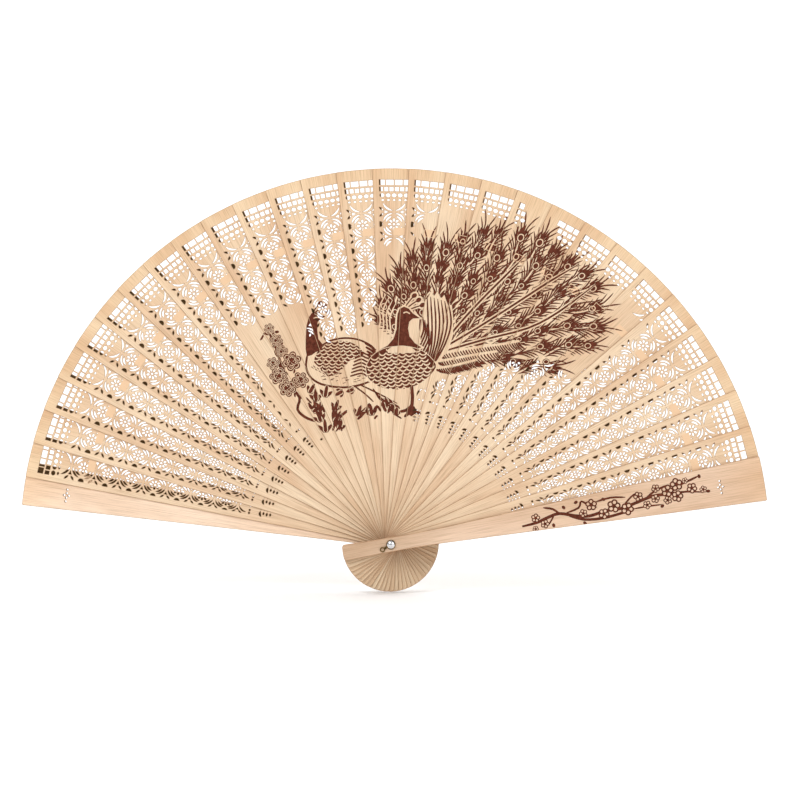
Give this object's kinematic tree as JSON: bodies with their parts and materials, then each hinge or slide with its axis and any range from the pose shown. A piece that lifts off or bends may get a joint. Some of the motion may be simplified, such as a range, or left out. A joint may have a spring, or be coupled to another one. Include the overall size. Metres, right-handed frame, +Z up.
{
  "type": "folding fan",
  "caption": "Open wooden folding fan: slim pierced leaves with a burnt bird picture turn on a rivet between plain guards; a small tag with an eye hangs from the rivet.",
  "frame": {"origin": "on the rivet's axis, halfway through the stack of leaves", "axes": "the open fan stands in the XZ plane with its front facing -Y, +Z up the middle of the fan, +X towards the front guard"},
  "size_m": [0.4094, 0.0259, 0.2326],
  "materials": {
    "stick_wood": "satin",
    "guard_wood": "satin",
    "rivet_metal": "polished",
    "tag_brass": "satin"
  },
  "bodies": {
    "rear_guard": {"rear_guard": "guard_wood", "rivet_pin": "rivet_metal", "rear_washer": "rivet_metal"},
    "stick_01": {"stick_01": "stick_wood"},
    "stick_02": {"stick_02": "stick_wood"},
    "stick_03": {"stick_03": "stick_wood"},
    "stick_04": {"stick_04": "stick_wood"},
    "stick_05": {"stick_05": "stick_wood"},
    "stick_06": {"stick_06": "stick_wood"},
    "stick_07": {"stick_07": "stick_wood"},
    "stick_08": {"stick_08": "stick_wood"},
    "stick_09": {"stick_09": "stick_wood"},
    "stick_10": {"stick_10": "stick_wood"},
    "stick_11": {"stick_11": "stick_wood"},
    "stick_12": {"stick_12": "stick_wood"},
    "stick_13": {"stick_13": "stick_wood"},
    "stick_14": {"stick_14": "stick_wood"},
    "stick_15": {"stick_15": "stick_wood"},
    "stick_16": {"stick_16": "stick_wood"},
    "stick_17": {"stick_17": "stick_wood"},
    "stick_18": {"stick_18": "stick_wood"},
    "stick_19": {"stick_19": "stick_wood"},
    "stick_20": {"stick_20": "stick_wood"},
    "stick_21": {"stick_21": "stick_wood"},
    "stick_22": {"stick_22": "stick_wood"},
    "stick_23": {"stick_23": "stick_wood"},
    "stick_24": {"stick_24": "stick_wood"},
    "stick_25": {"stick_25": "stick_wood"},
    "stick_26": {"stick_26": "stick_wood"},
    "stick_27": {"stick_27": "stick_wood"},
    "stick_28": {"stick_28": "stick_wood"},
    "front_guard": {"front_guard": "guard_wood"},
    "tassel_tag": {"tassel_tag": "tag_brass"}
  },
  "joints": [
    {"name": "fan_fold", "type": "hinge", "parent": "rear_guard", "child": "front_guard", "pos_m": [0, 0, 0], "axis": [0, -1, 0], "range_deg": [0, 160.8]},
    {"name": "stick_01_turn", "type": "hinge", "parent": "rear_guard", "child": "stick_01", "pos_m": [0, 0, 0], "axis": [0, -1, 0], "range_deg": [0, 4.41]},
    {"name": "stick_02_turn", "type": "hinge", "parent": "rear_guard", "child": "stick_02", "pos_m": [0, 0, 0], "axis": [0, -1, 0], "range_deg": [0, 9.79]},
    {"name": "stick_03_turn", "type": "hinge", "parent": "rear_guard", "child": "stick_03", "pos_m": [0, 0, 0], "axis": [0, -1, 0], "range_deg": [0, 15.2]},
    {"name": "stick_04_turn", "type": "hinge", "parent": "rear_guard", "child": "stick_04", "pos_m": [0, 0, 0], "axis": [0, -1, 0], "range_deg": [0, 20.62]},
    {"name": "stick_05_turn", "type": "hinge", "parent": "rear_guard", "child": "stick_05", "pos_m": [0, 0, 0], "axis": [0, -1, 0], "range_deg": [0, 26.06]},
    {"name": "stick_06_turn", "type": "hinge", "parent": "rear_guard", "child": "stick_06", "pos_m": [0, 0, 0], "axis": [0, -1, 0], "range_deg": [0, 31.52]},
    {"name": "stick_07_turn", "type": "hinge", "parent": "rear_guard", "child": "stick_07", "pos_m": [0, 0, 0], "axis": [0, -1, 0], "range_deg": [0, 37]},
    {"name": "stick_08_turn", "type": "hinge", "parent": "rear_guard", "child": "stick_08", "pos_m": [0, 0, 0], "axis": [0, -1, 0], "range_deg": [0, 42.49]},
    {"name": "stick_09_turn", "type": "hinge", "parent": "rear_guard", "child": "stick_09", "pos_m": [0, 0, 0], "axis": [0, -1, 0], "range_deg": [0, 48]},
    {"name": "stick_10_turn", "type": "hinge", "parent": "rear_guard", "child": "stick_10", "pos_m": [0, 0, 0], "axis": [0, -1, 0], "range_deg": [0, 53.53]},
    {"name": "stick_11_turn", "type": "hinge", "parent": "rear_guard", "child": "stick_11", "pos_m": [0, 0, 0], "axis": [0, -1, 0], "range_deg": [0, 59.08]},
    {"name": "stick_12_turn", "type": "hinge", "parent": "rear_guard", "child": "stick_12", "pos_m": [0, 0, 0], "axis": [0, -1, 0], "range_deg": [0, 64.64]},
    {"name": "stick_13_turn", "type": "hinge", "parent": "rear_guard", "child": "stick_13", "pos_m": [0, 0, 0], "axis": [0, -1, 0], "range_deg": [0, 70.22]},
    {"name": "stick_14_turn", "type": "hinge", "parent": "rear_guard", "child": "stick_14", "pos_m": [0, 0, 0], "axis": [0, -1, 0], "range_deg": [0, 75.82]},
    {"name": "stick_15_turn", "type": "hinge", "parent": "rear_guard", "child": "stick_15", "pos_m": [0, 0, 0], "axis": [0, -1, 0], "range_deg": [0, 81.43]},
    {"name": "stick_16_turn", "type": "hinge", "parent": "rear_guard", "child": "stick_16", "pos_m": [0, 0, 0], "axis": [0, -1, 0], "range_deg": [0, 87.06]},
    {"name": "stick_17_turn", "type": "hinge", "parent": "rear_guard", "child": "stick_17", "pos_m": [0, 0, 0], "axis": [0, -1, 0], "range_deg": [0, 92.71]},
    {"name": "stick_18_turn", "type": "hinge", "parent": "rear_guard", "child": "stick_18", "pos_m": [0, 0, 0], "axis": [0, -1, 0], "range_deg": [0, 98.38]},
    {"name": "stick_19_turn", "type": "hinge", "parent": "rear_guard", "child": "stick_19", "pos_m": [0, 0, 0], "axis": [0, -1, 0], "range_deg": [0, 104.06]},
    {"name": "stick_20_turn", "type": "hinge", "parent": "rear_guard", "child": "stick_20", "pos_m": [0, 0, 0], "axis": [0, -1, 0], "range_deg": [0, 109.77]},
    {"name": "stick_21_turn", "type": "hinge", "parent": "rear_guard", "child": "stick_21", "pos_m": [0, 0, 0], "axis": [0, -1, 0], "range_deg": [0, 115.49]},
    {"name": "stick_22_turn", "type": "hinge", "parent": "rear_guard", "child": "stick_22", "pos_m": [0, 0, 0], "axis": [0, -1, 0], "range_deg": [0, 121.22]},
    {"name": "stick_23_turn", "type": "hinge", "parent": "rear_guard", "child": "stick_23", "pos_m": [0, 0, 0], "axis": [0, -1, 0], "range_deg": [0, 126.98]},
    {"name": "stick_24_turn", "type": "hinge", "parent": "rear_guard", "child": "stick_24", "pos_m": [0, 0, 0], "axis": [0, -1, 0], "range_deg": [0, 132.75]},
    {"name": "stick_25_turn", "type": "hinge", "parent": "rear_guard", "child": "stick_25", "pos_m": [0, 0, 0], "axis": [0, -1, 0], "range_deg": [0, 138.54]},
    {"name": "stick_26_turn", "type": "hinge", "parent": "rear_guard", "child": "stick_26", "pos_m": [0, 0, 0], "axis": [0, -1, 0], "range_deg": [0, 144.34]},
    {"name": "stick_27_turn", "type": "hinge", "parent": "rear_guard", "child": "stick_27", "pos_m": [0, 0, 0], "axis": [0, -1, 0], "range_deg": [0, 150.17]},
    {"name": "stick_28_turn", "type": "hinge", "parent": "rear_guard", "child": "stick_28", "pos_m": [0, 0, 0], "axis": [0, -1, 0], "range_deg": [0, 156.01]},
    {"name": "tag_swivel", "type": "hinge", "parent": "rear_guard", "child": "tassel_tag", "pos_m": [0, 0, 0], "axis": [0, -1, 0], "continuous": true}
  ],
  "couplings": [
    {"joint": "stick_01_turn", "follows": "fan_fold", "ratio": 0.027363},
    {"joint": "stick_02_turn", "follows": "fan_fold", "ratio": 0.060875},
    {"joint": "stick_03_turn", "follows": "fan_fold", "ratio": 0.094495},
    {"joint": "stick_04_turn", "follows": "fan_fold", "ratio": 0.12822},
    {"joint": "stick_05_turn", "follows": "fan_fold", "ratio": 0.16206},
    {"joint": "stick_06_turn", "follows": "fan_fold", "ratio": 0.19601},
    {"joint": "stick_07_turn", "follows": "fan_fold", "ratio": 0.23006},
    {"joint": "stick_08_turn", "follows": "fan_fold", "ratio": 0.26422},
    {"joint": "stick_09_turn", "follows": "fan_fold", "ratio": 0.29849},
    {"joint": "stick_10_turn", "follows": "fan_fold", "ratio": 0.33287},
    {"joint": "stick_11_turn", "follows": "fan_fold", "ratio": 0.36735},
    {"joint": "stick_12_turn", "follows": "fan_fold", "ratio": 0.40195},
    {"joint": "stick_13_turn", "follows": "fan_fold", "ratio": 0.43665},
    {"joint": "stick_14_turn", "follows": "fan_fold", "ratio": 0.47146},
    {"joint": "stick_15_turn", "follows": "fan_fold", "ratio": 0.50638},
    {"joint": "stick_16_turn", "follows": "fan_fold", "ratio": 0.54141},
    {"joint": "stick_17_turn", "follows": "fan_fold", "ratio": 0.57654},
    {"joint": "stick_18_turn", "follows": "fan_fold", "ratio": 0.61179},
    {"joint": "stick_19_turn", "follows": "fan_fold", "ratio": 0.64714},
    {"joint": "stick_20_turn", "follows": "fan_fold", "ratio": 0.6826},
    {"joint": "stick_21_turn", "follows": "fan_fold", "ratio": 0.71817},
    {"joint": "stick_22_turn", "follows": "fan_fold", "ratio": 0.75384},
    {"joint": "stick_23_turn", "follows": "fan_fold", "ratio": 0.78963},
    {"joint": "stick_24_turn", "follows": "fan_fold", "ratio": 0.82552},
    {"joint": "stick_25_turn", "follows": "fan_fold", "ratio": 0.86153},
    {"joint": "stick_26_turn", "follows": "fan_fold", "ratio": 0.89764},
    {"joint": "stick_27_turn", "follows": "fan_fold", "ratio": 0.93385},
    {"joint": "stick_28_turn", "follows": "fan_fold", "ratio": 0.97018}
  ]
}
